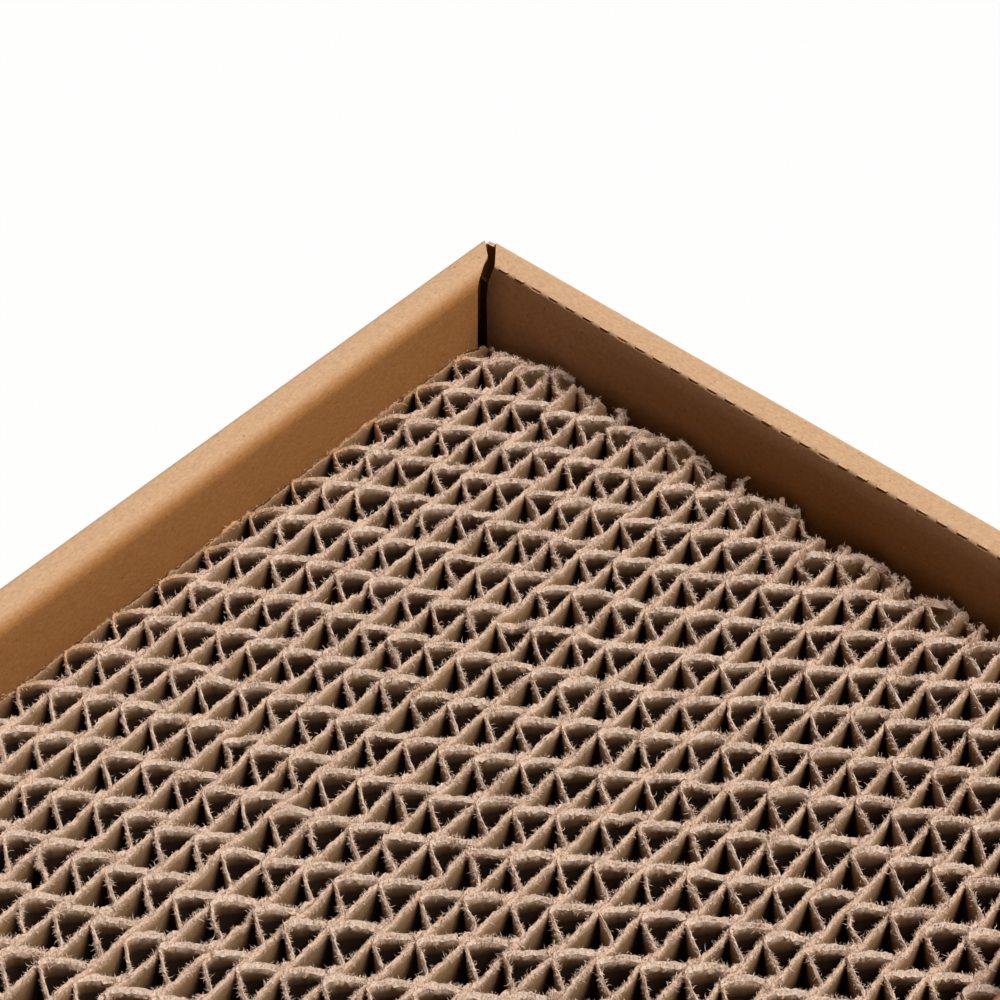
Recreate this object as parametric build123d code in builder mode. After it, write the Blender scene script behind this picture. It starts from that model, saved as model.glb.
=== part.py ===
import os
from math import floor, radians, sin

from build123d import *

# Cardboard cat scratcher: a shallow tray folded from thin kraft board, with a loose pad
# of corrugated strips that stand on edge, so that their flutes open upwards.
# Millimetres. The origin is the middle of the underside, X runs along the tray, Z is up.

# Scratching pad
STRIP_COUNT = 28
STRIP_CALIPER = 4.1
LINER = 0.5
FLUTE_PITCH = 7.8
BARE_END = 0.8
PAD_HEIGHT = 37.0
PHASE_START = 0.81
PHASE_STEP_SHARE = 0.73
PHASE_DRIFT = 0.3
PHASE_DRIFT_TURN = 17.5
STAGGER = 0.4
STAGGER_TURN = 137.5

# Tray
TRAY_LENGTH = 420.0
KRAFT_BOARD = 0.6
RIM_ABOVE_PAD = 10.0
LONG_RIM = 5.05
END_RIM = 4.3
LONG_FOLD_RADIUS = 2.2
FOLD_RADIUS = 0.9
FOOT_FOLD = 2.0
PAD_SIDE_GAP = 0.35
PAD_END_GAP = 0.6

# Corners
MITRE_GAP = 0.9
CORNER_RELIEF = 3.3
FLAP_LENGTH = 48.0
FLAP_TAPER = 8.0
FLAP_DROP = 6.0
FLAP_GAP = 0.3

# Perforated crease of the end walls
PERF_PITCH = 3.0
PERF_CUT = 1.5
PERF_DEPTH = 0.4

# Lock tabs under the inner walls
TAB_LENGTH = 26.0
TAB_GAP = 0.3
LONG_TAB_SPACING = 140.0
LONG_TAB_COUNT = 3
END_TAB_SPACING = 60.0
END_TAB_COUNT = 2

OVERRUN = 1.0

pad_width = STRIP_COUNT * STRIP_CALIPER + LINER
half_inner_width = pad_width / 2 + PAD_SIDE_GAP
half_width = half_inner_width + LONG_RIM
half_length = TRAY_LENGTH / 2
half_inner_length = half_length - END_RIM
tray_height = KRAFT_BOARD + PAD_HEIGHT + RIM_ABOVE_PAD
strip_length = 2 * (half_inner_length - PAD_END_GAP - STAGGER)

os.makedirs("parts", exist_ok=True)


def save(builder, name):
    """Label a finished piece and write it under its node's name."""
    builder.part.label = name
    export_step(builder.part, f"parts/{name}.step")


# Floor panel, with a slot for each lock tab
tab_slot = TAB_LENGTH + 2 * TAB_GAP
tab_slot_width = KRAFT_BOARD + 2 * TAB_GAP
tab_line_y = half_inner_width + KRAFT_BOARD / 2
tab_line_x = half_inner_length + KRAFT_BOARD / 2

with BuildPart() as tray_base:
    with BuildSketch():
        Rectangle(2 * (half_length - FOOT_FOLD), 2 * (half_width - FOOT_FOLD))
        with GridLocations(LONG_TAB_SPACING, 2 * tab_line_y, LONG_TAB_COUNT, 2):
            Rectangle(tab_slot, tab_slot_width, mode=Mode.SUBTRACT)
        with GridLocations(2 * tab_line_x, END_TAB_SPACING, 2, END_TAB_COUNT):
            Rectangle(tab_slot_width, tab_slot, mode=Mode.SUBTRACT)
    extrude(amount=KRAFT_BOARD)
save(tray_base, "tray_base")


def mitre(along, across, inner_along, inner_across):
    """Plan of a rolled wall whose two ends are cut back from the tray's corner diagonals."""
    slope = (along - inner_along) / (across - inner_across)
    reach = along - MITRE_GAP
    depth = across - inner_across + OVERRUN
    corners = [(reach, across), (reach - slope * depth, across - depth)]
    mirrored = [(-x, y) for x, y in reversed(corners)]
    Polyline(*corners, *mirrored, close=True)


# Long wall, rolled over a soft rim
long_outer = [
    (half_width - FOOT_FOLD, 0),
    (half_width, 0),
    (half_width, tray_height),
    (half_inner_width, tray_height),
    (half_inner_width, KRAFT_BOARD),
]
long_hollow = [
    (half_width - FOOT_FOLD, KRAFT_BOARD),
    (half_width - KRAFT_BOARD, KRAFT_BOARD),
    (half_width - KRAFT_BOARD, tray_height - KRAFT_BOARD),
    (half_inner_width + KRAFT_BOARD, tray_height - KRAFT_BOARD),
    (half_inner_width + KRAFT_BOARD, KRAFT_BOARD),
]
long_radii = [FOLD_RADIUS, FOLD_RADIUS, LONG_FOLD_RADIUS]
relief_x = half_inner_length - CORNER_RELIEF
relief_top = tray_height - LONG_FOLD_RADIUS

with BuildPart() as long_wall_back:
    with BuildSketch(Plane.YZ):
        with BuildLine():
            skin = FilletPolyline(*long_outer, radius=long_radii)
            lining = FilletPolyline(*long_hollow, radius=[r - KRAFT_BOARD for r in long_radii])
            Line(skin @ 0, lining @ 0)
            Line(skin @ 1, lining @ 1)
        make_face()
    extrude(amount=half_length, both=True)
    with BuildSketch():
        with BuildLine():
            mitre(half_length, half_width, half_inner_length, half_inner_width)
        make_face()
    extrude(amount=tray_height, mode=Mode.INTERSECT)
    with BuildSketch(Plane.XZ.offset(-half_inner_width - KRAFT_BOARD - OVERRUN)):
        with BuildLine():
            Line((half_length, 0), (relief_x, 0))
            Line((relief_x, 0), (relief_x, relief_top - 2 * CORNER_RELIEF))
            RadiusArc(
                (relief_x, relief_top - 2 * CORNER_RELIEF),
                (relief_x + 2 * CORNER_RELIEF, relief_top),
                2 * CORNER_RELIEF,
            )
            Line((relief_x + 2 * CORNER_RELIEF, relief_top), (half_length, relief_top))
            Line((half_length, relief_top), (half_length, 0))
        make_face()
        mirror(about=Plane.YZ)
    extrude(amount=KRAFT_BOARD + 2 * OVERRUN, mode=Mode.SUBTRACT)
    with Locations((0, tab_line_y, KRAFT_BOARD / 2)):
        with GridLocations(LONG_TAB_SPACING, KRAFT_BOARD, LONG_TAB_COUNT, 1):
            Box(TAB_LENGTH, KRAFT_BOARD, KRAFT_BOARD)
save(long_wall_back, "long_wall_back")

with BuildPart() as long_wall_front:
    mirror(long_wall_back.part, about=Plane.XZ)
save(long_wall_front, "long_wall_front")


# End wall, rolled over a sharp perforated crease
end_outer = [
    (half_length - FOOT_FOLD, 0),
    (half_length, 0),
    (half_length, tray_height),
    (half_inner_length, tray_height),
]
end_hollow = [
    (half_length - FOOT_FOLD, KRAFT_BOARD),
    (half_length - KRAFT_BOARD, KRAFT_BOARD),
    (half_length - KRAFT_BOARD, tray_height - KRAFT_BOARD),
    (half_inner_length + KRAFT_BOARD, tray_height - KRAFT_BOARD),
]
end_hems = [(half_inner_length, KRAFT_BOARD), (half_inner_length + KRAFT_BOARD, KRAFT_BOARD)]
perf_count = floor(2 * half_inner_width / PERF_PITCH)

with BuildPart() as end_wall_right:
    with BuildSketch(Plane.XZ):
        with BuildLine():
            skin = FilletPolyline(*end_outer, radius=FOLD_RADIUS)
            lining = FilletPolyline(*end_hollow, radius=FOLD_RADIUS - KRAFT_BOARD)
            Line(skin @ 0, lining @ 0)
            Polyline(skin @ 1, *end_hems, lining @ 1)
        make_face()
    extrude(amount=half_width, both=True)
    with BuildSketch(Plane(origin=(0, 0, 0), x_dir=(0, 1, 0), z_dir=(0, 0, -1))):
        with BuildLine():
            mitre(half_width, half_length, half_inner_width, half_inner_length)
        make_face()
    extrude(amount=-tray_height, mode=Mode.INTERSECT)
    with Locations((half_inner_length, 0, tray_height)):
        with GridLocations(PERF_PITCH, PERF_PITCH, 1, perf_count):
            Box(2 * PERF_DEPTH, PERF_CUT, 2 * PERF_DEPTH, mode=Mode.SUBTRACT)
    with Locations((tab_line_x, 0, KRAFT_BOARD / 2)):
        with GridLocations(KRAFT_BOARD, END_TAB_SPACING, 1, END_TAB_COUNT):
            Box(KRAFT_BOARD, TAB_LENGTH, KRAFT_BOARD)
save(end_wall_right, "end_wall_right")

with BuildPart() as end_wall_left:
    mirror(end_wall_right.part, about=Plane.YZ)
save(end_wall_left, "end_wall_left")


# Corner flaps: hinged on the long walls' ends, tucked into the hollow end walls
flap_x = half_length - MITRE_GAP - KRAFT_BOARD
flap_root = half_width - KRAFT_BOARD
flap_foot = KRAFT_BOARD + FLAP_GAP
flap_top = tray_height - FLAP_DROP

with BuildPart() as corner_flap:
    with BuildSketch(Plane.YZ.offset(flap_x)):
        with BuildLine():
            Polyline(
                (flap_root, flap_foot),
                (flap_root, flap_top),
                (flap_root - FLAP_LENGTH, flap_top - FLAP_TAPER),
                (flap_root - FLAP_LENGTH, flap_foot + FLAP_TAPER),
                close=True,
            )
        make_face()
    extrude(amount=-KRAFT_BOARD)
save(corner_flap, "corner_flap_back_right")

with BuildPart() as corner_flap_back_left:
    mirror(corner_flap.part, about=Plane.YZ)
save(corner_flap_back_left, "corner_flap_back_left")

with BuildPart() as corner_flap_front_right:
    mirror(corner_flap.part, about=Plane.XZ)
save(corner_flap_front_right, "corner_flap_front_right")

with BuildPart() as corner_flap_front_left:
    mirror(corner_flap_back_left.part, about=Plane.XZ)
save(corner_flap_front_left, "corner_flap_front_left")


# Corrugated strips: a liner with a row of flutes, whose crests meet the next strip's liner
def fluted_outline(start, phase):
    """Plan of one strip: straight liner face, then the zigzag of crests and troughs."""
    flutes = floor((strip_length - phase - BARE_END) / FLUTE_PITCH)
    points = [(start, 0), (start + strip_length, 0), (start + strip_length, LINER)]
    for flute in reversed(range(flutes)):
        trough = start + phase + flute * FLUTE_PITCH
        points.append((trough + FLUTE_PITCH, LINER))
        points.append((trough + FLUTE_PITCH / 2, STRIP_CALIPER))
    points.append((start + phase, LINER))
    points.append((start, LINER))
    return points


for index in range(STRIP_COUNT):
    drift = PHASE_DRIFT * sin(radians(index * PHASE_DRIFT_TURN))
    phase = BARE_END + FLUTE_PITCH * ((PHASE_START + index * PHASE_STEP_SHARE + drift) % 1)
    start = STAGGER * sin(radians(index * STAGGER_TURN)) - strip_length / 2
    face_y = index * STRIP_CALIPER - pad_width / 2
    with BuildPart() as strip:
        with BuildSketch(Plane((0, face_y, KRAFT_BOARD))):
            with BuildLine():
                Polyline(*fluted_outline(start, phase), close=True)
            make_face()
        extrude(amount=PAD_HEIGHT)
    save(strip, f"strip_{index + 1:02d}")

# Flat outer face of the last strip
with BuildPart() as closing_liner:
    with BuildSketch(Plane((0, (pad_width - LINER) / 2, KRAFT_BOARD))):
        Rectangle(strip_length, LINER)
    extrude(amount=PAD_HEIGHT)
save(closing_liner, "closing_liner")
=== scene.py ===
import math

import bpy
import numpy as np
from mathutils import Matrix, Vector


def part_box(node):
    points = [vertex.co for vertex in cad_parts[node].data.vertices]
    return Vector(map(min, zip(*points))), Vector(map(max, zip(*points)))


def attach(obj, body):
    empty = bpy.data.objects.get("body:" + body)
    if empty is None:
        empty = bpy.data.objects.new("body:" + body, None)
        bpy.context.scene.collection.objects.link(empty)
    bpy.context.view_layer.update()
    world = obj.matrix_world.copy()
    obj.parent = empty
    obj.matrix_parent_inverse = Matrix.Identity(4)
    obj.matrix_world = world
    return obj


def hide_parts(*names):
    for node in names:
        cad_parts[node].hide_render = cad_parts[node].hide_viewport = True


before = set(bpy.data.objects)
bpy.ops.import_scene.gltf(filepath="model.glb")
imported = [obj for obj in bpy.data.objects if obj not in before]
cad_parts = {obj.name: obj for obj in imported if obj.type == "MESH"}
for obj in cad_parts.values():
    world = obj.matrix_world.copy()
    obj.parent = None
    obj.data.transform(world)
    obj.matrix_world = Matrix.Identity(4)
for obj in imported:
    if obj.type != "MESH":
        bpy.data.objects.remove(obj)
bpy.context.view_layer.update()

# Cardboard cat scratcher: a kraft tray folded from one blank, with a loose pad of corrugated
# strips on edge. The tray's rolled walls and the pad's strips are modelled here as bent sheets
# that have thickness. The floor panel and the corner flaps are the CAD solids.
# Metres, in the CAD frame. A pair named WAVE, RIPPLE, WANDER or TUFTS describes a random line: the
# distance between its knots, and their spread.

MM = 0.001
TOUCH = 0.01 * MM
MICRON_DIGITS = 6

# Every random draw is seeded, with a number of its own for each kind of piece
SEED = 11
SLIT_SEED, LINER_SEED, FLUTE_SEED, STRIP_SEED, CLOSING_SEED = 5, 100, 200, 250, 300

# Kraft tray: the bent sheets
KRAFT = 0.6 * MM
FOOT_FOLD = 2.0 * MM
FOLD_RADIUS = 0.9 * MM
SOFT_FOLD_RADIUS = 2.1 * MM
LONG_ARC_STEPS, LONG_RUN_STEP = 9, 2.5 * MM
END_ARC_STEPS, END_RUN_STEP = 8, 3.0 * MM
ZONE_COLUMNS, MIDDLE_COLUMNS = 15, 131
TAB_LENGTH = 26.0 * MM
LONG_TABS = (-140 * MM, 0.0, 140 * MM)
END_TABS = (-30 * MM, 30 * MM)

# Kraft tray: the corners, where the sheets are cut back
END_ZONE = 14.0 * MM
LONG_MITRE_GAP = 0.7 * MM
END_MITRE_GAP = 1.65 * MM
END_MITRE_SLOPE = 0.826
END_PANEL_GAP = 0.4 * MM
INNER_PANEL_TUCK = 1.55 * MM
INNER_PANEL_ROUND = 6.5 * MM
CORNER_RELIEF = 3.3 * MM

# Kraft tray: how the inner panels bow, how soon below the rim the painted shade on the inner panels (a
# deeper brown) is reached, how it thins near the corners as painted bounce light, and pale cut lines
PANEL_BULGE = 0.3 * MM
BULGE_MEAN, BULGE_SWING, BULGE_WAVE = 0.6, 0.4, 61 * MM
BULGE_WANDER = (25 * MM, 0.05 * MM)
LONG_SHADE = 1.4 * MM
END_SHADE = 5.5 * MM
PAINTED_CORNER_LIGHT, PAINTED_CORNER_LIGHT_REACH = 1.0, 18 * MM
CUT_LINE = 0.6
CUT_LINE_WIDTH = 0.3 * MM

# Perforated crease of the end walls. SLIT_SHAPE turns the points of the crease's arc into those of
# an open slit: how far each is from the inner face, and below the rim, in millimetres.
CREASE = 0.5 * MM
SLIT_PITCH = 2.98 * MM
SLIT = 1.5 * MM
SLIT_TAPER = 0.06 * MM
SLIT_OPEN = (0.3, 1.0)
SLIT_SHAPE = (
    (0.5, 0), (0.25, 0), (0, 0), (0.6, 0.25), (1.3, 0.5), (0.6, 0.5), (0, 0.5), (0, 0.6), (0, 0.65),
)

# Corrugated board of the pad: liners and fluted sheets
LINER = 0.40 * MM
MEDIUM = 0.32 * MM
FLUTE_RISE, FLUTE_FALL = 0.33, 0.39
RISE_STRAIGHT, FALL_STRAIGHT = 0.6, 0.15
FLUTE_SOFTNESS, FLUTE_SAMPLES = 0.3 * MM, 7
FLUTE_WANDER = (11 * MM, 0.25 * MM)
LINER_WAVE, LINER_RIPPLE = (18 * MM, 0.12 * MM), (6 * MM, 0.05 * MM)
LINER_DROP = 0.15 * MM
LINER_TORN, LINER_LEAN = 0.75, 0.6
WASHBOARD = 0.2 * MM
STRIP_HEIGHT_SPREAD = 0.12 * MM

# The pad's ends and outer sheets
WALL_CLEARANCE = 0.15 * MM
ANY_HEIGHT = 1.0
END_OVERHANG = (-1.0 * MM, 0.3 * MM)
OPEN_END = 8.0 * MM
RAGGED_END = 9.0 * MM
TORN_TIP = 3.5 * MM
END_BEND, TIP_CURL = 0.7 * MM, 1.0 * MM
TIP_CRUSH = (-0.2 * MM, 1.6 * MM)
TIP_ROUND, TIP_DROP = 1.3 * MM, 1.0 * MM
OUTER_CALM = 0.3
OUTER_SAG, SAG_POWER = 3.5 * MM, 1.5
LINER_SAG, MEDIUM_SAG = 0.4, 0.7
OUTER_DROP = 0.5 * MM
OUTER_CRUSH, OUTER_TORN = 0.35 * MM, 0.15
CLOSING_TORN = 0.1
# Painted shadow on the closing liner's cut edge, which stands in for the shadowed gap between pad and
# wall
EDGE_PAINTED_SHADE = 5.0

# Torn upper edges, which the cut has dragged to one side
EDGE_WAVE, EDGE_RIPPLE, TIP_RIPPLE = (9 * MM, 0.12 * MM), (1.2 * MM, 0.10 * MM), (0.45 * MM, 0.5 * MM)
EDGE_FRAY = 3
DIP_LENGTH, DIP_FROM, DIP_MOST, DIP_DEPTH = 2.5 * MM, 1.4, 1.5, 0.9 * MM
CRUMPLE_LENGTH, CRUMPLE_MOST, CRUMPLE = 3 * MM, 5, 0.1 * MM
CRUMPLE_RIPPLE, CRUMPLE_FRAY = (1.5 * MM, 0.06 * MM), 3.5
FLUTE_HOLD = 0.8
LEAN_DEPTH, LEAN_POWER, LEAN_MOST = 2.8 * MM, 1.5, 1.2 * MM
DRAG = 0.85 * MM
DRAG_WAY = np.array((0.75, 0.66))
BURR, BURR_SPREAD = 0.12 * MM, 0.09 * MM
CALM_FLUFF, DRAG_FLUFF, FLUFF_POWER = 0.25, 1.35, 3
RIDGE_SPREAD, RING_SPREAD = 0.2, 0.1 * MM

# Painted shade in the cells: how dark the paper is painted on each side of a flute, and the extra
# painted shade in the wedges where sheets meet
POCKET_SHADE, ARCH_SHADE = 0.95, 1.65
WEDGE, WEDGE_DEPTH = 1.7, 1.0 * MM

# Loose paper on the torn edges: pieces a metre of edge, their sizes, and how they stand. SKEW is a
# way that few fibres point, to set their sides by.
FUZZ_CLOSE, FUZZ_FAR = 13500, 800
FUZZ_LENGTH, FUZZ_WIDTH, FUZZ_JOINTS = (0.18 * MM, 0.5 * MM), (0.03 * MM, 0.055 * MM), 1
FIBRES_CLOSE, FIBRES_FAR, END_FIBRES = 3800, 300, 2.0
FIBRE_LENGTH, FIBRE_WIDTH, FIBRE_JOINTS = (0.4 * MM, 1.0 * MM), (0.033 * MM, 0.062 * MM), 2
FIBRE_TAPER, FIBRE_BEND, FIBRE_SAG = 0.25, 1.3, 0.25
TUFTS, TUFT_BASE = (1.0 * MM, 0.9), 0.5
ROOT_DEPTH, ROOT_OUT, ROOT_ALONG = 0.7 * MM, (0.2, 1.0), 0.5
ROOT_RISE, ROOT_RISE_SPREAD, ROOT_DROOP = 0.2, 0.5, 0.6 / MM
SKEW = (0.31, 0.52, 0.8)
END_SLIPS = 250
SLIP_STEPS = 5
SLIP_SHEET = 0.12 * MM
SLIP_WIDTH, SLIP_LENGTH = (0.25 * MM, 0.6 * MM), (1.0 * MM, 2.5 * MM)
SLIP_RISE, SLIP_TURN = (0, 80), (60, 260)
SLIP_ROOT = 0.3 * MM
SLIP_TAPER, SLIP_RAGGED = 0.6, (0.6, 1.1)
# Slips: how raw their colour is, and how much painted shade they take in the pad's cells
SLIP_RAW, SLIP_PAINTED_SHADE = 0.75, 0.5
TINY = 1e-9

# The paper is finest in the corner that the photograph shows. Along a strip the corner starts at
# CLOSE_FROM where the strip is CLOSE_MIDDLE from the pad's middle, and further along on both sides
# of it. The steps along a sheet are those in the corner and those elsewhere.
CLOSE_FROM, CLOSE_MIDDLE, CLOSE_SLANT = 86.0 * MM, 24.0 * MM, 0.87
MEDIUM_STEPS = (0.22 * MM, 0.6 * MM)
LINER_STEPS = (0.28 * MM, 1.2 * MM)

# The map of a strip: the parts of it for the liner and the fluted sheet, and sizes of loose pieces
LINER_BAND, MEDIUM_BAND, WHOLE_BAND = (0.5, 1.0), (0.0, 0.5), (0.0, 1.0)
MAP_ROWS = 6
FOOT_MAP = 0.98
LOOSE_SPAN = (0.01, 0.99)
FIBRE_MAP = 0.002
SLIP_MAP = (0.004, 0.003)

# Looks of paper. Each noise has its lumps a metre, its detail and roughness, and the range of it
# that is stretched to 0 to 1.
CLOUD_NOISE = (900, 5.0, 0.75, 0.35, 0.65)
FIBRE_NOISE = (3200, 2.0, 0.6, 0.3, 0.7)
FLECK_NOISE = (1500, 2.0, 0.5, 0.68, 0.78)
WOOL_NOISE = (4200, 3.0, 0.7, 0.33, 0.62)
FIBRE_DARK, FIBRE_LIGHT = (0.87, 0.86, 0.85, 1), (1.1, 1.1, 1.1, 1)
WOOL_DARK, WOOL_LIGHT = (0.62, 0.56, 0.48), (1.05, 1.05, 1.05)
WOOL_RELIEF = 3.0
BUMP, BUMP_HEIGHT = 0.3, 0.05 * MM
ROUGH_SPREAD = 0.06
# Painted shade: the dark colour that the pad's paper is painted towards with depth below its top,
# between DUSK_FROM and DUSK_TO, standing in for the shade deep in its cells
PAINTED_DEEP_SHADE = (0.046, 0.0235, 0.0135, 1)
DUSK_FROM, DUSK_TO, DUSK_POWER = 0.3 * MM, 5.5 * MM, 0.6
WHITE = (1, 1, 1, 1)

# Stage and camera, which is at the place and angle of the photograph
FLOOR_SIZE = 8.0
FLOOR_DROP = 0.3 * MM
FLOOR_GLOW = 0.8
FLOOR_COLOUR = (0.92, 0.92, 0.92, 1)
AMBIENT_COLOUR, AMBIENT_STRENGTH = (1.0, 0.80, 0.62, 1), 0.06
KEY_STRENGTH, KEY_SOFTNESS, KEY_FROM = 3.35, 35, (0.22, -0.36, 0.905)
SENSOR, LENS, CLIP_START = 36.0, 95.6, 0.01
CAMERA_PLACE = (0.0014, -0.1244, 0.2795)
CAMERA_DOWN, CAMERA_HEADING = 45.29, 41.59


# Meshes

def new_object(name, data):
    """Makes an object and puts it in the scene."""
    made = bpy.data.objects.new(name, data)
    bpy.context.scene.collection.objects.link(made)
    return made


class Soup:
    """Gathers the vertices and faces of one piece, group by group."""

    def __init__(self):
        self.verts, self.faces = [], []
        self.marks = {"cut": [], "painted_shade": []}
        self.count = 0

    def points(self, verts, cut=0.0, painted_shade=0.0):
        """Adds vertices, with how raw the paper is at each and how much painted shade it takes, and
        gives the first one's index."""
        verts = np.asarray(verts, float).reshape(-1, 3)
        self.verts.append(verts)
        for key, value in (("cut", cut), ("painted_shade", painted_shade)):
            self.marks[key].append(np.broadcast_to(np.ravel(value), len(verts)))
        first = self.count
        self.count += len(verts)
        return first

    def polygons(self, corners, places, smooth):
        """Adds faces with the same number of corners, their map places and their shading."""
        corners = np.asarray(corners)
        places = np.broadcast_to(places, corners.shape + (2,))
        self.faces.append((corners, places, np.broadcast_to(smooth, len(corners))))

    def piece(self, name, material, body, slot, *nodes, mapped=True):
        """Makes the object, on its body and in place of its CAD nodes."""
        verts = np.concatenate(self.verts)
        corners = np.concatenate([c.ravel() for c, _, _ in self.faces])
        sizes = np.concatenate([np.full(len(c), c.shape[1]) for c, _, _ in self.faces])
        mesh = bpy.data.meshes.new(name)
        mesh.vertices.add(len(verts))
        mesh.vertices.foreach_set("co", verts.ravel())
        mesh.loops.add(len(corners))
        mesh.loops.foreach_set("vertex_index", corners.astype(np.int32))
        mesh.polygons.add(len(sizes))
        mesh.polygons.foreach_set("loop_start", (np.cumsum(sizes) - sizes).astype(np.int32))
        mesh.update(calc_edges=True)
        mesh.polygons.foreach_set("use_smooth", np.concatenate([s for _, _, s in self.faces]))
        for key, values in self.marks.items():
            mark = mesh.attributes.new(key, "FLOAT", "POINT")
            mark.data.foreach_set("value", np.concatenate(values))
        if mapped:
            layer = mesh.uv_layers.new(name="OFBake")
            layer.uv.foreach_set("vector", np.concatenate([p.ravel() for _, p, _ in self.faces]))
        mesh.materials.append(material)
        mesh.update()
        piece = new_object(name, mesh)
        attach(piece, body)
        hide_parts(*nodes)


def tube(first, count, ring):
    """The vertices of count closed rings in a row, and the faces between one ring and the next."""
    index = first + np.arange(count * ring).reshape(count, ring)
    ahead = np.roll(index, -1, axis=1)
    return index, np.stack([index[:-1], index[1:], ahead[1:], ahead[:-1]], axis=2)


def wander(rng, x, step, size):
    """A smooth random line over the rising places x, with a knot at every step."""
    t = (x - x[0]) / step
    knots = rng.normal(0, size, int(t[-1]) + 2)
    i = t.astype(int)
    f = t - i
    f = f * f * (3 - 2 * f)
    return knots[i] * (1 - f) + knots[i + 1] * f


# Materials

def add(tree, kind, inputs=None, **settings):
    """Adds a node; an input is a value or another node's output."""
    node = tree.nodes.new(kind)
    for key, value in settings.items():
        setattr(node, key, value)
    for key, value in (inputs or {}).items():
        if isinstance(value, bpy.types.NodeSocket):
            tree.links.new(value, node.inputs[key])
        else:
            node.inputs[key].default_value = value
    return node


def mark(tree, key):
    """What a piece's vertices are marked with."""
    return add(tree, "ShaderNodeAttribute", attribute_name=key).outputs["Fac"]


def work_out(tree, operation, *values):
    """One number from others."""
    return add(tree, "ShaderNodeMath", dict(enumerate(values)), operation=operation).outputs[0]


def spread(tree, value, low, high, to_low=0.0, to_high=1.0):
    """Stretches a value from one range to another, without going outside it."""
    inputs = {"Value": value, "From Min": low, "From Max": high, "To Min": to_low, "To Max": to_high}
    return add(tree, "ShaderNodeMapRange", inputs).outputs[0]


def noise(tree, place, look, stretch=(1, 1, 1)):
    """Noise that is stretched to fill 0 to 1."""
    scale, detail, rough, low, high = look
    place = add(tree, "ShaderNodeMapping", {"Vector": place, "Scale": stretch}).outputs[0]
    inputs = {"Vector": place, "Scale": scale, "Detail": detail, "Roughness": rough}
    return spread(tree, add(tree, "ShaderNodeTexNoise", inputs).outputs["Fac"], low, high)


def blend(tree, share, a, b, mode="MIX"):
    """Mixes two colours."""
    inputs = {0: share, 6: a, 7: b}
    return add(tree, "ShaderNodeMix", inputs, data_type="RGBA", blend_type=mode).outputs[2]


def tinted(colour, tint):
    """A colour multiplied by another."""
    return [c * t for c, t in zip(colour[:3], tint)] + [1]


def paper(name, face, dark, raw, speck, grain, rough, gloss, dusk=None, inside=None):
    """Uncoated paper: cloudy pulp, fine fibres along the sheet, dark specks, and raw edges with a
    colour of their own. dusk holds the heights between which the paper is painted from its own colour
    to dark, a painted shade that comes sooner where a piece's vertices are marked for more of it, and
    inside is the tint of the painted shade on sheltered panels."""
    material = bpy.data.materials.new(name)
    material.use_nodes = True
    tree = material.node_tree
    shader = tree.nodes["Principled BSDF"]
    place = add(tree, "ShaderNodeTexCoord").outputs["Object"]
    cloud = noise(tree, place, CLOUD_NOISE)
    fibre = noise(tree, place, FIBRE_NOISE, grain)
    fleck = noise(tree, place, FLECK_NOISE)
    wool = noise(tree, place, WOOL_NOISE)
    raw_share = mark(tree, "cut")
    colour = blend(tree, cloud, dark, face)
    colour = blend(tree, 1.0, colour, blend(tree, fibre, FIBRE_DARK, FIBRE_LIGHT), "MULTIPLY")
    colour = blend(tree, fleck, colour, speck)
    edge = blend(tree, wool, tinted(raw, WOOL_DARK), tinted(raw, WOOL_LIGHT))
    colour = blend(tree, raw_share, colour, edge)
    # Painted shade on the kraft's inner panels: a tint as deep as the vertices' mark asks
    if inside:
        tint = blend(tree, mark(tree, "painted_shade"), WHITE, inside)
        colour = blend(tree, 1.0, colour, tint, "MULTIPLY")
    # Painted shade in the pad's cells: darker with depth below the top, as far as the vertices' mark
    # asks
    if dusk:
        height = add(tree, "ShaderNodeSeparateXYZ", {"Vector": place}).outputs["Z"]
        depth = work_out(tree, "POWER", spread(tree, height, *dusk), DUSK_POWER)
        depth = work_out(tree, "MULTIPLY", depth, mark(tree, "painted_shade"))
        colour = blend(tree, depth, colour, PAINTED_DEEP_SHADE)
    tree.links.new(colour, shader.inputs["Base Color"])
    roughness = spread(tree, cloud, 0, 1, rough - ROUGH_SPREAD, rough + ROUGH_SPREAD)
    tree.links.new(roughness, shader.inputs["Roughness"])
    relief = work_out(tree, "MULTIPLY", wool, raw_share)
    relief = work_out(tree, "MULTIPLY_ADD", relief, WOOL_RELIEF, fibre)
    bump = add(tree, "ShaderNodeBump", {"Height": relief, "Strength": BUMP, "Distance": BUMP_HEIGHT})
    tree.links.new(bump.outputs[0], shader.inputs["Normal"])
    shader.inputs["Specular IOR Level"].default_value = gloss
    return material


strips = sorted(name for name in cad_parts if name.startswith("strip_"))
pad_floor, pad_top = (corner[2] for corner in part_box(strips[0]))

# Two kraft materials, with the grain along or across, each with its own tint of painted shade for the
# inner panels: deeper on the end walls, which face away from the lamp
kraft_long, kraft_end = (
    paper(
        name,
        face=(0.675, 0.42, 0.24, 1),
        dark=(0.605, 0.366, 0.197, 1),
        raw=(0.76, 0.55, 0.36, 1),
        speck=(0.38, 0.20, 0.09, 1),
        grain=grain,
        rough=0.75,
        gloss=0.4,
        inside=inside,
    )
    for name, grain, inside in (
        ("kraft_along", (0.5, 1, 1), (0.68, 0.48, 0.245, 1)),
        ("kraft_across", (1, 0.5, 1), (0.47, 0.295, 0.077, 1)),
    )
)
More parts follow.
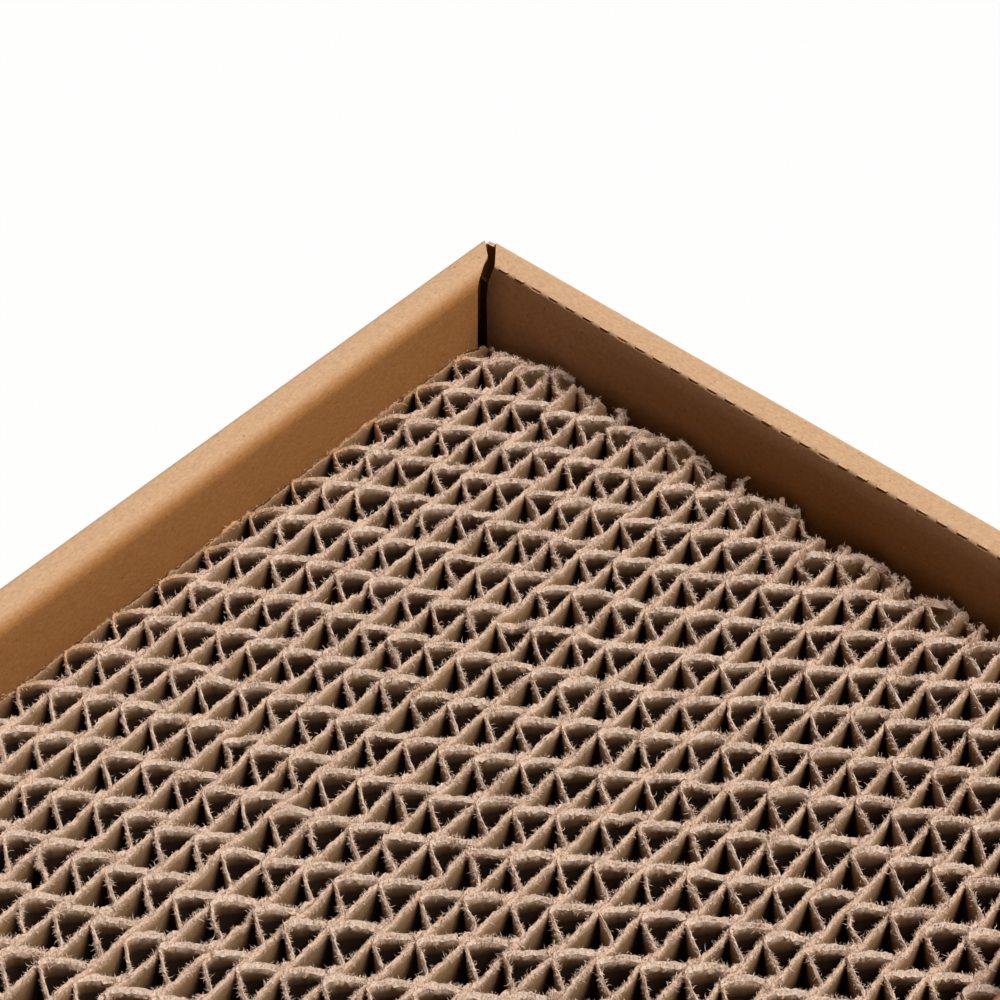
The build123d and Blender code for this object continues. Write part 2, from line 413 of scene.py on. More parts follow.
# Kraft painted near black for the corner flaps: a painted shadow for the dark hollow where they sit
kraft_painted_shadow = paper(
    "kraft_painted_shadow",
    face=(0.13, 0.07, 0.035, 1),
    dark=(0.10, 0.05, 0.024, 1),
    raw=(0.13, 0.07, 0.035, 1),
    speck=(0.07, 0.035, 0.015, 1),
    grain=(1, 1, 0.5),
    rough=0.85,
    gloss=0.3,
)
board = paper(
    "corrugated",
    face=(0.69, 0.39, 0.183, 1),
    dark=(0.575, 0.318, 0.145, 1),
    raw=(0.85, 0.65, 0.52, 1),
    speck=(0.26, 0.17, 0.10, 1),
    grain=(0.6, 1, 1),
    rough=0.85,
    gloss=0.15,
    dusk=(pad_top - DUSK_FROM, pad_top - DUSK_TO),
)


# Rolled walls of the tray

back_low, back_high = (np.array(corner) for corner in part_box("long_wall_back"))
right_low, right_high = (np.array(corner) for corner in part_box("end_wall_right"))
rim = back_high[2]
half_width, half_inner_width = back_high[1], back_low[1]
half_length, half_inner_length = right_high[0], right_low[0]
long_rim = half_width - half_inner_width
end_rim = half_length - half_inner_length


def rounded_path(corners, radii, arc_steps, run_step):
    """Points along a bent sheet's face: straight runs divided evenly, and an arc at each corner."""
    corners = [np.array(c, float) for c in corners]
    path = [corners[0]]
    for before, at, after, radius in zip(corners, corners[1:], corners[2:], radii):
        back = (before - at) / np.linalg.norm(before - at)
        ahead = (after - at) / np.linalg.norm(after - at)
        start = at + back * radius
        centre = start + ahead * radius
        runs = max(1, round(np.linalg.norm(start - path[-1]) / run_step))
        path += [path[-1] + (start - path[-1]) * (i + 1) / runs for i in range(runs)]
        for i in range(1, arc_steps + 1):
            turn = math.pi / 2 * i / arc_steps
            path.append(centre - ahead * radius * math.cos(turn) - back * radius * math.sin(turn))
    runs = max(1, round(np.linalg.norm(corners[-1] - path[-1]) / run_step))
    path += [path[-1] + (corners[-1] - path[-1]) * (i + 1) / runs for i in range(runs)]
    return np.array(path)


def inset(path):
    """The sheet's other face: the path moved in by the board's thickness."""
    ahead = np.gradient(path, axis=0)
    ahead /= np.linalg.norm(ahead, axis=1)[:, None]
    return path + KRAFT * np.stack([ahead[:, 1], -ahead[:, 0]], axis=1)


def mitre(path, reach, slope):
    """How far each row of a wall runs: cut back along the corner's diagonal."""
    return reach - slope * np.clip(path[:, 0], 0, None)


def bulged(path, columns, width, seed):
    """Copies a section along the wall, with its inner panel slightly bowed into the hollow."""
    rng = np.random.default_rng([SEED, seed])
    bow = PANEL_BULGE * (BULGE_MEAN + BULGE_SWING * np.sin(columns / BULGE_WAVE + seed))
    bow = bow + wander(rng, columns, *BULGE_WANDER)
    height = np.sin(np.clip(path[:, 1] / (rim - SOFT_FOLD_RADIUS), 0, 1) * math.pi)
    section = np.repeat(path[None], len(columns), axis=0)
    section[..., 0] -= bow[:, None] * (height * (path[:, 0] > width / 2))
    return section


def rolled_wall(
    name, material, outer, inner, columns, ends, along, inward, reach, width, tabs, shade, sharp
):
    """A wall bent from one sheet. outer and inner hold its two faces, (columns, points, 2), as the
    depth from the wall's outer side and the height. columns are places along the wall, and ends is how
    far each point's row runs. along and inward are directions in plan, reach is half the wall's
    length, width is its rim's, and tabs are the middles of its lock tabs. shade holds, for each
    column, the share of painted shade, a deeper brown, on the inner panel, and how far below the rim
    it is reached. sharp marks the faces with hard edges."""
    soup = Soup()
    section = np.concatenate([outer, inner[:, ::-1]], axis=1)
    rows = np.concatenate([ends, ends[::-1]])
    zone = reach - END_ZONE
    distance = np.abs(columns)[:, None]
    share = (distance - zone) / END_ZONE
    pulled = np.where(distance > zone, zone + share * (rows - zone), distance)
    pulled = pulled * np.sign(columns)[:, None]
    along, inward = np.array(along), np.array(inward)
    corner = -inward * (half_width if inward[0] == 0 else half_length)
    plan = corner + pulled[..., None] * along + section[..., :1] * inward
    count, ring = pulled.shape
    half = ring // 2
    # Painted shade: the inner panel is tinted a deeper brown from the rim down, and the sheet's face
    # towards the hollow is tinted all over
    inside = 1 - (1 - np.clip((rim - section[..., 1]) / shade[1], 0, 1)) ** 2
    inside = inside * (section[..., 0] > width / 2) * shade[0][:, None]
    inside[:, half:] = 1.0
    verts = np.concatenate([plan, section[..., 1:]], axis=2)
    trimmed = np.where(np.abs(columns) > reach - TOUCH, CUT_LINE, 0.0)[:, None]
    first = soup.points(verts, np.broadcast_to(trimmed, (count, ring)), inside)
    _, quads = tube(first, count, ring)
    smooth = ~np.concatenate([sharp, sharp[:, ::-1]], axis=1)
    soup.polygons(quads.reshape(-1, 4), 0.0, smooth.ravel())
    for column, order in ((0, 1), (-1, -1)):
        face = soup.points(verts[column], CUT_LINE) + np.arange(ring)
        other = face[::-1]
        cap = [face[:half - 1], face[1:half], other[1:half], other[:half - 1]]
        soup.polygons(np.stack(cap, axis=1)[:, ::order], 0.0, False)
    for middle in tabs:
        grid = [
            (x, depth, z)
            for x in (middle - TAB_LENGTH / 2, middle + TAB_LENGTH / 2)
            for depth in (width - KRAFT, width)
            for z in (0, KRAFT)
        ]
        start = soup.points([(*(corner + x * along + depth * inward), z) for x, depth, z in grid])
        sides = [(0, 1, 3, 2), (4, 6, 7, 5), (0, 4, 5, 1), (2, 3, 7, 6), (0, 2, 6, 4), (1, 5, 7, 3)]
        soup.polygons(start + np.array(sides), 0.0, False)
    soup.piece(name + "_sheet", material, "tray", "kraft_board", name, mapped=False)


# Long walls, rolled over a soft rim, with the inner panel cut back at the corners
long_face = rounded_path(
    [(FOOT_FOLD, 0), (0, 0), (0, rim), (long_rim, rim), (long_rim, KRAFT)],
    [FOLD_RADIUS, FOLD_RADIUS, SOFT_FOLD_RADIUS],
    LONG_ARC_STEPS,
    LONG_RUN_STEP,
)
long_reach = half_length - LONG_MITRE_GAP
long_ends = mitre(long_face, long_reach, end_rim / long_rim)
round_fold = np.clip(1 - (long_rim - long_face[:, 0]) / SOFT_FOLD_RADIUS, 0, 1)
fold_end = long_reach - (long_rim - SOFT_FOLD_RADIUS) * end_rim / long_rim
relief = fold_end + (half_inner_length - CORNER_RELIEF - fold_end) * round_fold
long_ends = np.where(round_fold > 0, relief, long_ends)
long_columns = np.concatenate([
    [-long_reach],
    np.linspace(-long_reach + CUT_LINE_WIDTH, -long_reach + END_ZONE, ZONE_COLUMNS)[:-1],
    np.linspace(-long_reach + END_ZONE, long_reach - END_ZONE, MIDDLE_COLUMNS),
    np.linspace(long_reach - END_ZONE, long_reach - CUT_LINE_WIDTH, ZONE_COLUMNS)[1:],
    [long_reach],
])

for name, side, seed in (("long_wall_back", 1, 1), ("long_wall_front", -1, 2)):
    rolled_wall(
        name,
        kraft_long,
        outer=bulged(long_face, long_columns, long_rim, seed),
        inner=bulged(inset(long_face), long_columns, long_rim, seed),
        columns=long_columns,
        ends=long_ends,
        along=(-side, 0),
        inward=(0, -side),
        reach=long_reach,
        width=long_rim,
        tabs=LONG_TABS,
        shade=(np.ones(len(long_columns)), LONG_SHADE),
        sharp=np.zeros((len(long_columns) - 1, len(long_face)), bool),
    )

# End walls, rolled over a perforated crease: rounded at the bridges, cut at the slits
end_bridge = rounded_path(
    [(FOOT_FOLD, 0), (0, 0), (0, rim), (end_rim, rim), (end_rim, KRAFT)],
    [FOLD_RADIUS, FOLD_RADIUS, CREASE],
    END_ARC_STEPS,
    END_RUN_STEP,
)
from_crease = np.linalg.norm(end_bridge - (end_rim - CREASE, rim), axis=1)
crease_start = int(np.argmin(from_crease))
end_slit = end_bridge.copy()
for i, (back, down) in enumerate(SLIT_SHAPE):
    end_slit[crease_start + i] = (end_rim - back * MM, rim - down * MM)

# Columns along an end wall: eight to a slit and its bridge, and two at each end
end_reach = half_width - END_PANEL_GAP
end_ends = mitre(end_bridge, half_width - END_MITRE_GAP, END_MITRE_SLOPE)
slit_count = math.ceil(2 * half_inner_width / SLIT_PITCH)
half_slit, half_bridge = SLIT / 2, (SLIT_PITCH - SLIT) / 2
end_columns, slit_share = [], []
rng = np.random.default_rng([SEED, SLIT_SEED])
for i in range(slit_count):
    opened = rng.uniform(*SLIT_OPEN)
    centre = (i - (slit_count - 1) / 2) * SLIT_PITCH
    low, high = centre - half_slit, centre + half_slit
    end_columns += [low - half_bridge / 2, low, low + SLIT_TAPER, centre]
    end_columns += [high - SLIT_TAPER, high, high + half_bridge / 2, high + half_bridge]
    slit_share += [0, 0, opened, opened, opened, 0, 0, 0]
zone = end_reach - END_ZONE
stretch = END_ZONE / (end_ends[crease_start] - zone)
end_columns = [math.copysign(max(abs(c), zone + (abs(c) - zone) * stretch), c) for c in end_columns]
for inset_by in (0.0, CUT_LINE_WIDTH):
    end_columns += [-end_reach + inset_by, end_reach - inset_by]
    slit_share += [0, 0]
order = np.argsort(end_columns)
end_columns = np.array(end_columns)[order]
slit_share = np.array(slit_share, float)[order]

# The outer panel runs on to the corner, and below the rim the inner panel runs further too
below_rim = rim - end_bridge[:, 1]
on_outer = end_bridge[:, 0] < end_rim / 2
rounding = 1 - (1 - np.clip(below_rim / INNER_PANEL_ROUND, 0, 1)) ** 2
end_ends = np.where(on_outer & (below_rim > FOLD_RADIUS - TOUCH), end_reach, end_ends)
end_ends = np.where(on_outer, end_ends, end_ends + INNER_PANEL_TUCK * rounding)

from_corner = np.abs(end_columns) - half_inner_width
# Painted shade on the end walls' inner panels, thinned near the corners as painted bounce light from
# the long walls
end_shade = np.clip(1 - PAINTED_CORNER_LIGHT * np.exp(from_corner / PAINTED_CORNER_LIGHT_REACH), 0, 1)
in_slit = (slit_share[:-1] + slit_share[1:] > 0)[:, None]
point = np.arange(len(end_bridge))
at_crease = (point >= crease_start) & (point < crease_start + len(SLIT_SHAPE))

for name, side, seed in (("end_wall_right", 1, 3), ("end_wall_left", -1, 4)):
    bridge_face = bulged(end_bridge, end_columns, end_rim, seed)
    slit_face = bulged(end_slit, end_columns, end_rim, seed)
    cut_in = slit_share[:, None, None] * (slit_face - bridge_face)
    rolled_wall(
        name,
        kraft_end,
        outer=bridge_face + cut_in,
        inner=bulged(inset(end_bridge), end_columns, end_rim, seed) + cut_in,
        columns=end_columns,
        ends=end_ends,
        along=(0, side),
        inward=(-side, 0),
        reach=end_reach,
        width=end_rim,
        tabs=END_TABS,
        shade=(end_shade, END_SHADE),
        sharp=in_slit & at_crease,
    )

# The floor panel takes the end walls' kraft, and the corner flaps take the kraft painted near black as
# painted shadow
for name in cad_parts:
    if name == "tray_base" or name.startswith("corner_flap"):
        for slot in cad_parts[name].material_slots:
            slot.material = kraft_painted_shadow if name.startswith("corner_flap") else kraft_end


# Corrugated strips of the pad

strip_low, strip_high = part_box(strips[0])
cell = strip_high[1] - strip_low[1] - LINER - MEDIUM
pad_reach = half_inner_length

# Each sheet's ring, from the foot of its front face over the cut edge to the foot of its back face:
# which face, depth below the cut edge, how far the torn burr stands out, rawness, and place on the
# map. The burr hangs over the front. Rawness is the torn edge's own paler colour; where it fades down
# the faces below the edge it is also painted light, brighter near the top.
RING_SIDE = np.array([-1, -1, -1, -1, -1, 0, 1, 1, 1, 1])
RING_DEPTH = np.array([0, 4.0, 1.25, 0.7, 0.25, 0, 0.25, 1.2, 4.0, 0]) * MM
RING_BURR = np.array([0, 0, 0.1, 0.75, 0.95, 0, 0.8, 0.2, 0, 0])
RING_RAW = np.array([0, 0, 0.05, 0.6, 1, 1, 1, 0.4, 0, 0])
RING_MAP = np.array([0, 0.22, 0.30, 0.37, 0.43, 0.48, 0.53, 0.60, 0.72, 0.96, 1.0])
RIDGE = 5
FEET = [0, 9]
SMOOTH_BELOW = 0.2


def on_map(band, row, share):
    """The height on the map of a place in one row of a band."""
    low, high = band
    return low + (high - low) * (row + share) / MAP_ROWS


def map_places(count, band):
    """The map of a sheet's faces: its length is cut into rows, one above the other."""
    per_row = math.ceil(count / MAP_ROWS)
    column = np.arange(count)
    row, across = column // per_row, column % per_row / per_row
    map_x = np.stack([across, across + 1 / per_row, across + 1 / per_row, across], axis=1)
    map_y = np.stack([RING_MAP[:-1], RING_MAP[:-1], RING_MAP[1:], RING_MAP[1:]], axis=1)
    places = np.zeros((count, len(map_y), 4, 2))
    places[..., 0] = map_x[:, None]
    places[..., 1] = on_map(band, row[:, None, None], map_y[None])
    return places


def directions(plan):
    """Along and across a line in plan, at each of its points."""
    ahead = np.gradient(plan, axis=0)
    ahead /= np.linalg.norm(ahead, axis=1)[:, None]
    return ahead, np.stack([-ahead[:, 1], ahead[:, 0]], axis=1)


def toward_end(x, zone):
    """0 along most of a strip, rising to 1 at the tray's end walls over a zone."""
    return np.clip((np.abs(x) - pad_reach + zone) / zone, 0, 1)


def close_from(y):
    """Where along a strip the corner starts that the photograph shows."""
    return CLOSE_FROM + CLOSE_SLANT * abs(y - CLOSE_MIDDLE)


def steps_along(ends, steps, y):
    """Places along a strip, closer together in the corner that the photograph shows."""
    (low, high), (close, far), start = ends, steps, close_from(y)
    return np.concatenate([np.arange(low, start, far), np.arange(start, high, close)])


def within_tray(points):
    """Keeps loose paper inside the tray: it bends along the walls."""
    reach = np.array([half_inner_length, half_inner_width, ANY_HEIGHT]) - WALL_CLEARANCE
    return np.clip(points, -reach, reach)


def add_sheet(soup, rng, plan, thickness, top, lean, band, front, back, torn=1.0, ridge_painted_shade=0.0):
    """One sheet of paper on edge along a line in plan: flat faces, a torn upper edge with a burr, and
    loose paper. The cut has dragged all upper edges to one side. band is the part of the map that it
    takes, front and back are each face's painted shade and how far it is from the next sheet, or None
    where there is none, torn is how rough the edge is, and the last argument is how dark its cut edge
    is painted, a painted shadow that stands in for the shadowed gap at the tray's wall."""
    _, side = directions(plan)
    count, ring = len(plan), len(RING_SIDE)
    torn = np.broadcast_to(torn, count)
    facing = side @ DRAG_WAY
    fluff = CALM_FLUFF + DRAG_FLUFF * np.abs(facing) ** FLUFF_POWER
    burr = BURR + np.abs(rng.normal(0, BURR_SPREAD, (count, ring)))
    offset = RING_SIDE * (thickness / 2 + burr * RING_BURR * (torn * fluff)[:, None])
    offset[:, RIDGE] += rng.normal(0, RIDGE_SPREAD, count) * thickness
    uneven = np.abs(rng.normal(0, RING_SPREAD, (count, ring)))
    depth = RING_DEPTH + np.where(RING_RAW > 0, uneven, 0)
    height = top[:, None] - depth
    height[:, FEET] = pad_floor
    fade = np.clip(1 - depth / LEAN_DEPTH, 0, 1) ** LEAN_POWER
    fade[:, FEET] = 0
    lean = lean + torn * DRAG * facing
    offset += lean[:, None] * fade
    place = plan[:, None] + side[:, None] * offset[..., None]
    verts = np.concatenate([place, height[..., None]], axis=2)

    # Painted shade on the faces in the cells, more in the narrow wedges, fading out towards the
    # strip's open ends, and none on the raw edge
    inside = np.clip((pad_reach - np.abs(plan[:, 0])) / OPEN_END, 0, 1)
    painted_shade = np.zeros((count, ring))
    for face, cover in ((-1, front), (1, back)):
        if cover:
            shade, gap = cover
            wedge = WEDGE * np.exp(-gap / WEDGE_DEPTH)
            painted_shade[:, RING_SIDE == face] = (inside * (shade + wedge))[:, None]
    painted_shade = painted_shade * (1 - RING_RAW)
    # The cut edge takes only the painted shadow given for it: for the closing liner, a dark line for
    # the shadowed gap at the wall
    painted_shade[:, RIDGE] = ridge_painted_shade

    first = soup.points(verts, RING_RAW * torn[:, None], painted_shade)
    index, quads = tube(first, count, ring)
    places = map_places(count - 1, band)
    smooth = (RING_RAW < SMOOTH_BELOW) | (np.roll(RING_RAW, -1) < SMOOTH_BELOW)
    smooth = np.broadcast_to(smooth, (count - 1, ring))
    soup.polygons(quads.reshape(-1, 4), places.reshape(-1, 4, 2), smooth.ravel())
    foot = np.array([0.0, on_map(band, 0, FOOT_MAP)])
    soup.polygons(index[:1], foot, False)
    soup.polygons(index[-1:, ::-1], foot, False)
    add_loose(soup, rng, plan, thickness, top, lean, band, torn)


def add_loose(soup, rng, plan, thickness, top, lean, band, torn):
    """Loose paper along a sheet's torn edge: fuzz, longer fibres, and curled slips at its tips."""
    ahead, side = directions(plan)
    facing = side @ DRAG_WAY
    x = plan[1:, 0]
    runs = np.linalg.norm(np.diff(plan, axis=0), axis=1) * np.exp(wander(rng, x, *TUFTS))
    runs = runs * (TUFT_BASE + np.abs(facing[1:])) * torn[1:]

    def scatter(density):
        """Picks places along the edge: roots, the ways out of them, and places on the map."""
        wanted = np.cumsum(runs * density)
        count = int(wanted[-1])
        at = np.searchsorted(wanted, rng.uniform(0, wanted[-1], count))
        at = np.clip(at, 1, len(plan) - 2)
        out = np.where(rng.uniform(0, 1, count) < 0.5, -1.0, 1.0)
        down = rng.uniform(0, ROOT_DEPTH, count)
        away = lean[at] * (1 - down / LEAN_DEPTH) ** LEAN_POWER + out * thickness / 2
        root = np.concatenate([plan[at] + side[at] * away[:, None], (top[at] - down)[:, None]], axis=1)
        outward = side[at] * (out * rng.uniform(*ROOT_OUT, count))[:, None]
        along = ahead[at] * rng.normal(0, ROOT_ALONG, (count, 1))
        rise = rng.normal(ROOT_RISE, ROOT_RISE_SPREAD, (count, 1)) - down[:, None] * ROOT_DROOP
        way = np.concatenate([outward + along, rise], axis=1)
        way /= np.linalg.norm(way, axis=1)[:, None]
        map_x = rng.uniform(*LOOSE_SPAN, count)
        map_y = on_map(band, rng.integers(0, MAP_ROWS, count), RING_MAP[RIDGE])
        return root, way, np.stack([map_x, map_y], axis=1)

    close = x > close_from(plan[:, 1].mean())
    fuzz = scatter(np.where(close, FUZZ_CLOSE, FUZZ_FAR))
    add_fibres(soup, rng, *fuzz, FUZZ_LENGTH, FUZZ_WIDTH, FUZZ_JOINTS)
    more = 1 + END_FIBRES * toward_end(x, RAGGED_END)
    fibres = scatter(np.where(close, FIBRES_CLOSE, FIBRES_FAR) * more)
    add_fibres(soup, rng, *fibres, FIBRE_LENGTH, FIBRE_WIDTH, FIBRE_JOINTS)
    slips = scatter(np.where(np.abs(x) > pad_reach - TORN_TIP, END_SLIPS, 0))
    add_slips(soup, rng, *slips)


def add_fibres(soup, rng, root, way, spot, lengths, widths, joints):
    """Torn bits of paper on an edge: three-sided spikes, which bend at their joints and sag."""
    count = len(root)
    reach = rng.uniform(*lengths, (count, 1)) / joints
    wide = rng.uniform(*widths, (count, 1))
    across = np.cross(way, SKEW)
    across /= np.linalg.norm(across, axis=1)[:, None]
    third = np.cross(way, across)
    rings = []
    for joint in range(joints):
        thick = (1 - FIBRE_TAPER * joint) * wide
        for turn in (0, math.tau / 3, 2 * math.tau / 3):
            rings.append(root + thick * (math.cos(turn) * across + math.sin(turn) * third))
        root = root + way * reach
        way = way + rng.normal(0, FIBRE_BEND, (count, 3)) - (0, 0, FIBRE_SAG)
        way /= np.linalg.norm(way, axis=1)[:, None]
    rings.append(root)
    start = soup.points(within_tray(np.stack(rings, axis=1)), 1.0)
    tip = 3 * joints
    faces = [(0, 2, 1)]
    for joint in range(joints - 1):
        for a, b in ((0, 1), (1, 2), (2, 0)):
            a, b = a + 3 * joint, b + 3 * joint
            faces += [(a, b, b + 3), (a, b + 3, a + 3)]
    faces += [(tip - 3, tip - 2, tip), (tip - 2, tip - 1, tip), (tip - 1, tip - 3, tip)]
    corners = start + (tip + 1) * np.arange(count)[:, None, None] + np.array(faces)
    small = FIBRE_MAP * np.array([(0, 0), (1, 0), (0, 1)])
    places = np.repeat(spot[:, None, None] + small, len(faces), axis=1)
    soup.polygons(corners.reshape(-1, 3), places.reshape(-1, 3, 2), False)


def add_slips(soup, rng, root, way, spot):
    """Torn slips of paper that curl over from an edge, each a thin bent sheet with ragged sides."""
    count = len(root)
    level = way * (1, 1, 0)
    level /= np.linalg.norm(level, axis=1)[:, None] + TINY
    across = np.stack([-level[:, 1], level[:, 0], np.zeros(count)], axis=1)
    width = rng.uniform(*SLIP_WIDTH, (count, 1))
    step = rng.uniform(*SLIP_LENGTH, (count, 1)) / SLIP_STEPS
    rise = np.radians(rng.uniform(*SLIP_RISE, (count, 1)))
    turn = np.radians(rng.uniform(*SLIP_TURN, (count, 1))) / SLIP_STEPS
    root = root - (0, 0, SLIP_ROOT)
    rings = []
    for i in range(SLIP_STEPS + 1):
        tangent = np.cos(rise) * level + np.sin(rise) * np.array((0, 0, 1))
        skin = np.cross(tangent, across) * SLIP_SHEET / 2
        taper = 1 - SLIP_TAPER * (i / SLIP_STEPS) ** 2
        left = across * width * taper * rng.uniform(*SLIP_RAGGED, (count, 1))
        right = -across * width * taper * rng.uniform(*SLIP_RAGGED, (count, 1))
        rings += [root + left + skin, root + right + skin, root + right - skin, root + left - skin]
        root = root + tangent * step
        rise = rise - turn
    start = soup.points(within_tray(np.stack(rings, axis=1)), SLIP_RAW, SLIP_PAINTED_SHADE)
    first = start + 4 * (SLIP_STEPS + 1) * np.arange(count)[:, None, None]
    faces = [(3, 2, 1, 0), tuple(4 * SLIP_STEPS + k for k in range(4))]
    for i in range(SLIP_STEPS):
        for k in range(4):
            a, b = 4 * i + k, 4 * i + (k + 1) % 4
            faces.append((a, b, b + 4, a + 4))
    corners = first + np.array(faces)
    small = np.array([(0, 0), (1, 0), (1, 1), (0, 1)]) * SLIP_MAP
    places = np.repeat(spot[:, None, None] + small, len(faces), axis=1)
    soup.polygons(corners.reshape(-1, 4), places.reshape(-1, 4, 2), False)


def calm(number):
    """How freely a liner may bend: the two outer ones less than the others."""
    return OUTER_CALM if number in (0, len(strips)) else 1.0


# Liners wander and bend a little; the fluted sheet between two liners follows both of them.
# Near the pad's ends the strips are crushed and bent more.
guide = np.arange(-pad_reach, pad_reach + MM, MM)
near_end, at_tip = toward_end(guide, RAGGED_END) ** 2, toward_end(guide, TORN_TIP) ** 2
liner_shift = []
for i in range(len(strips) + 1):
    rng = np.random.default_rng([SEED, LINER_SEED, i])
    shift = wander(rng, guide, *LINER_WAVE) + wander(rng, guide, *LINER_RIPPLE)
    bend = np.where(guide < 0, rng.normal(0, END_BEND), rng.normal(0, END_BEND))
    curl = np.where(guide < 0, rng.normal(0, TIP_CURL), rng.normal(0, TIP_CURL))
    liner_shift.append(calm(i) * (shift + near_end * bend + at_tip * curl))


def torn_edge(rng, x, height, sag):
    """The height of a sheet's cut edge along the strip: gently uneven, with a few torn dips. sag is
    how far it is crushed down at the strip's ends."""
    ragged, tip = toward_end(x, RAGGED_END), toward_end(x, TORN_TIP)
    uneven = wander(rng, x, *EDGE_WAVE) + (1 + EDGE_FRAY * ragged) * wander(rng, x, *EDGE_RIPPLE)
    uneven -= tip * np.where(x < 0, rng.uniform(*TIP_CRUSH), rng.uniform(*TIP_CRUSH))
    uneven += tip * wander(rng, x, *TIP_RIPPLE)
    uneven -= sag * ragged ** SAG_POWER
    dips = np.clip(wander(rng, x, DIP_LENGTH, 1.0) - DIP_FROM, 0, DIP_MOST) * DIP_DEPTH
    from_tip = np.minimum(x - x[0], x[-1] - x)
    dips += TIP_DROP * np.clip(1 - from_tip / TIP_ROUND, 0, 1) ** 2
    return height + uneven - dips


def crumple(rng, x):
    """How far a sheet's upper edge leans to one side along the strip."""
    frayed = 1 + CRUMPLE_FRAY * toward_end(x, RAGGED_END) ** 2
    bent = np.clip(wander(rng, x, CRUMPLE_LENGTH, 1.0) ** 3, -CRUMPLE_MOST, CRUMPLE_MOST) * CRUMPLE
    leaning = frayed * (bent + wander(rng, x, *CRUMPLE_RIPPLE))
    return np.clip(leaning, -LEAN_MOST, LEAN_MOST)


def flute(x, crest, pitch):
    """Where a fluted sheet runs between its liners: 0 at the back one and 1 at the front one. It
    rises almost straight, falls in a rounded arch, and lies flat on the front liner in between."""
    ahead = ((x - crest) / pitch + 0.5) % 1 - 0.5
    run = np.clip(np.abs(ahead) / np.where(ahead < 0, FLUTE_RISE, FLUTE_FALL), 0, 1)
    straight = np.where(ahead < 0, RISE_STRAIGHT, FALL_STRAIGHT)
    return straight * run + (1 - straight) * run ** 2


def ragged_ends(rng, low, high):
    """Where a sheet ends: near its CAD strip's ends, and short of the walls."""
    reach = half_inner_length - WALL_CLEARANCE
    low = max(low - rng.uniform(*END_OVERHANG), -reach)
    return low, min(high + rng.uniform(*END_OVERHANG), reach)


# The fluted sheets: places along each strip, and how near the front liner the sheet is there
fluting = []
for i, name in enumerate(strips):
    rng = np.random.default_rng([SEED, FLUTE_SEED, i])
    low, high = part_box(name)
    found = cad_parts[name].data.vertices
    crests = sorted({round(v.co.x, MICRON_DIGITS) for v in found if v.co.y > high[1] - TOUCH})
    pitch = crests[1] - crests[0]
    x = steps_along(ragged_ends(rng, low[0], high[0]), MEDIUM_STEPS, (low[1] + high[1]) / 2)
    placed = x + wander(rng, x, *FLUTE_WANDER)
    around = np.linspace(-FLUTE_SOFTNESS, FLUTE_SOFTNESS, FLUTE_SAMPLES)
    fluting.append((x, np.mean([flute(placed + a, crests[0], pitch) for a in around], axis=0)))


def liner_line(number, x):
    """How far a liner is from its straight place: it wanders, and gives way where flutes touch it."""
    line = np.interp(x, guide, liner_shift[number])
    if number > 0:
        line = line + calm(number) * WASHBOARD * (1 - np.interp(x, *fluting[number - 1])) ** 2
    if number < len(strips):
        line = line - calm(number) * WASHBOARD * np.interp(x, *fluting[number]) ** 2
    return line


def add_liner(soup, rng, number, ends, middle, height, band, sag, torn=LINER_TORN, ridge_painted_shade=0.0):
    """A flat liner from one end of the strip to the other, between two fluted sheets."""
    x = steps_along(ragged_ends(rng, *ends), LINER_STEPS, middle)
    plan = np.stack([x, middle + liner_line(number, x)], axis=1)
    front = back = None
    if number > 0:
        front = (POCKET_SHADE, cell * np.interp(x, *fluting[number - 1]))
    if number < len(strips):
        back = (ARCH_SHADE, cell * (1 - np.interp(x, *fluting[number])))
    top = torn_edge(rng, x, height, sag)
    lean = LINER_LEAN * torn * crumple(rng, x)
    add_sheet(soup, rng, plan, LINER, top, lean, band, front, back, torn, ridge_painted_shade)


for i, name in enumerate(strips):
    rng = np.random.default_rng([SEED, STRIP_SEED, i])
    low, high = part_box(name)
    ends = (low[0], high[0])
    outermost = name == strips[-1]
    sag = OUTER_SAG if outermost else 0.0
    soup = Soup()
    height = pad_top + rng.normal(0, STRIP_HEIGHT_SPREAD)
    liner_middle, liner_height = low[1] + LINER / 2, height - LINER_DROP
    add_liner(soup, rng, i, ends, liner_middle, liner_height, LINER_BAND, LINER_SAG * sag)

    x, share = fluting[i]
    back_line = high[1] - MEDIUM / 2 + liner_line(i + 1, x)
    front_line = low[1] + LINER + MEDIUM / 2 + liner_line(i, x)
    plan = np.stack([x, back_line + (front_line - back_line) * share], axis=1)
    lean = crumple(rng, x) * (1 - FLUTE_HOLD * (2 * share - 1) ** 2)
    top = torn_edge(rng, x, height, MEDIUM_SAG * sag)
    torn = 1.0
    if outermost:
        top = top - OUTER_CRUSH * (1 - share) ** 2
        torn = OUTER_TORN + (1 - OUTER_TORN) * share
    front, back = (ARCH_SHADE, cell * (1 - share)), (POCKET_SHADE, cell * share)
    add_sheet(soup, rng, plan, MEDIUM, top, lean, MEDIUM_BAND, front, back, torn)
    soup.piece(name + "_paper", board, "pad", "corrugated_board", name)

low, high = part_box("closing_liner")
soup = Soup()
add_liner(
    soup,
    np.random.default_rng([SEED, CLOSING_SEED]),
    len(strips),
    (low[0], high[0]),
    (low[1] + high[1]) / 2,
    pad_top - OUTER_DROP,
    WHOLE_BAND,
    OUTER_SAG,
    CLOSING_TORN,
    EDGE_PAINTED_SHADE,
)
soup.piece("closing_liner_paper", board, "pad", "corrugated_board", "closing_liner")


# Stage

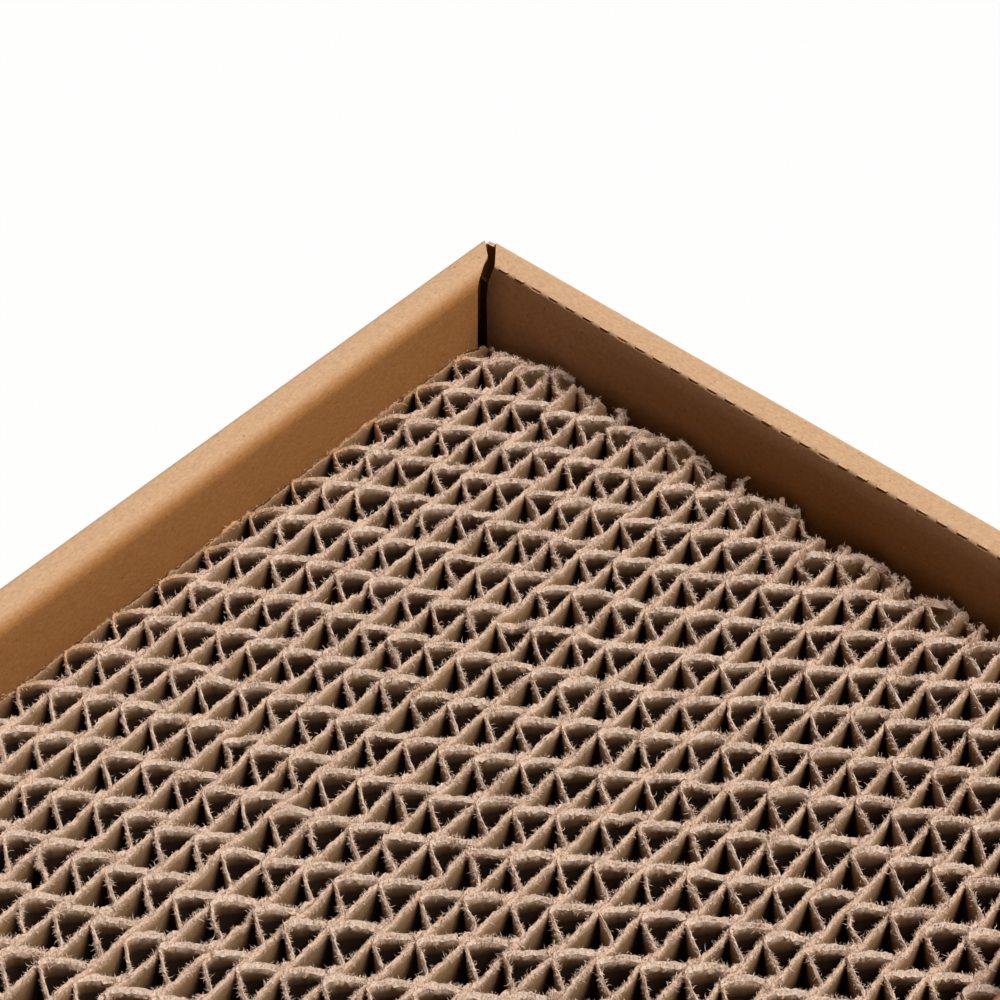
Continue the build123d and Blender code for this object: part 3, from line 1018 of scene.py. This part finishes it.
def seen_as(tree, light, seen):
    """Mixes two shaders: the first one lights the object, and the second one is what the camera,
    reflections and glass show."""
    path = add(tree, "ShaderNodeLightPath").outputs
    looking = work_out(tree, "MAXIMUM", path["Is Camera Ray"], path["Is Glossy Ray"])
    looking = work_out(tree, "MAXIMUM", looking, path["Is Transmission Ray"])
    return add(tree, "ShaderNodeMixShader", {0: looking, 1: light, 2: seen}).outputs[0]


half = FLOOR_SIZE / 2
floor_plan = ((-half, -half), (half, -half), (half, half), (-half, half))
floor_mesh = bpy.data.meshes.new("floor")
floor_mesh.from_pydata([(x, y, -FLOOR_DROP) for x, y in floor_plan], [], [(0, 1, 2, 3)])
floor = new_object("floor", floor_mesh)
floor_material = bpy.data.materials.new("floor")
floor_material.use_nodes = True
tree = floor_material.node_tree
tree.nodes.remove(tree.nodes["Principled BSDF"])
matte = add(tree, "ShaderNodeBsdfDiffuse", {"Color": FLOOR_COLOUR}).outputs[0]
glow = add(tree, "ShaderNodeEmission", {"Color": WHITE, "Strength": 1.0}).outputs[0]
lit = add(tree, "ShaderNodeMixShader", {0: FLOOR_GLOW, 1: matte, 2: glow}).outputs[0]
tree.links.new(seen_as(tree, matte, lit), tree.nodes["Material Output"].inputs["Surface"])
floor_mesh.materials.append(floor_material)

world = bpy.data.worlds.new("studio")
bpy.context.scene.world = world
world.use_nodes = True
tree = world.node_tree
ambient = tree.nodes["Background"]
ambient.inputs["Color"].default_value = AMBIENT_COLOUR
ambient.inputs["Strength"].default_value = AMBIENT_STRENGTH
white = add(tree, "ShaderNodeBackground", {"Color": WHITE, "Strength": 1.0}).outputs[0]
shown = seen_as(tree, ambient.outputs[0], white)
tree.links.new(shown, tree.nodes["World Output"].inputs["Surface"])

# A distant soft lamp, which shines from KEY_FROM
key_light = bpy.data.lights.new("key", "SUN")
key_light.energy = KEY_STRENGTH
key_light.angle = math.radians(KEY_SOFTNESS)
key = new_object("key", key_light)
x, y, z = KEY_FROM
key.rotation_euler = (math.atan2(math.hypot(x, y), z), 0, math.atan2(y, x) + math.pi / 2)

camera_data = bpy.data.cameras.new("camera")
camera_data.sensor_width = SENSOR
camera_data.lens = LENS
camera_data.clip_start = CLIP_START
camera = new_object("camera", camera_data)
camera.location = CAMERA_PLACE
camera.rotation_euler = (math.radians(90 - CAMERA_DOWN), 0, math.radians(CAMERA_HEADING - 90))
bpy.context.scene.camera = camera
bpy.context.scene.view_settings.view_transform = "Standard"
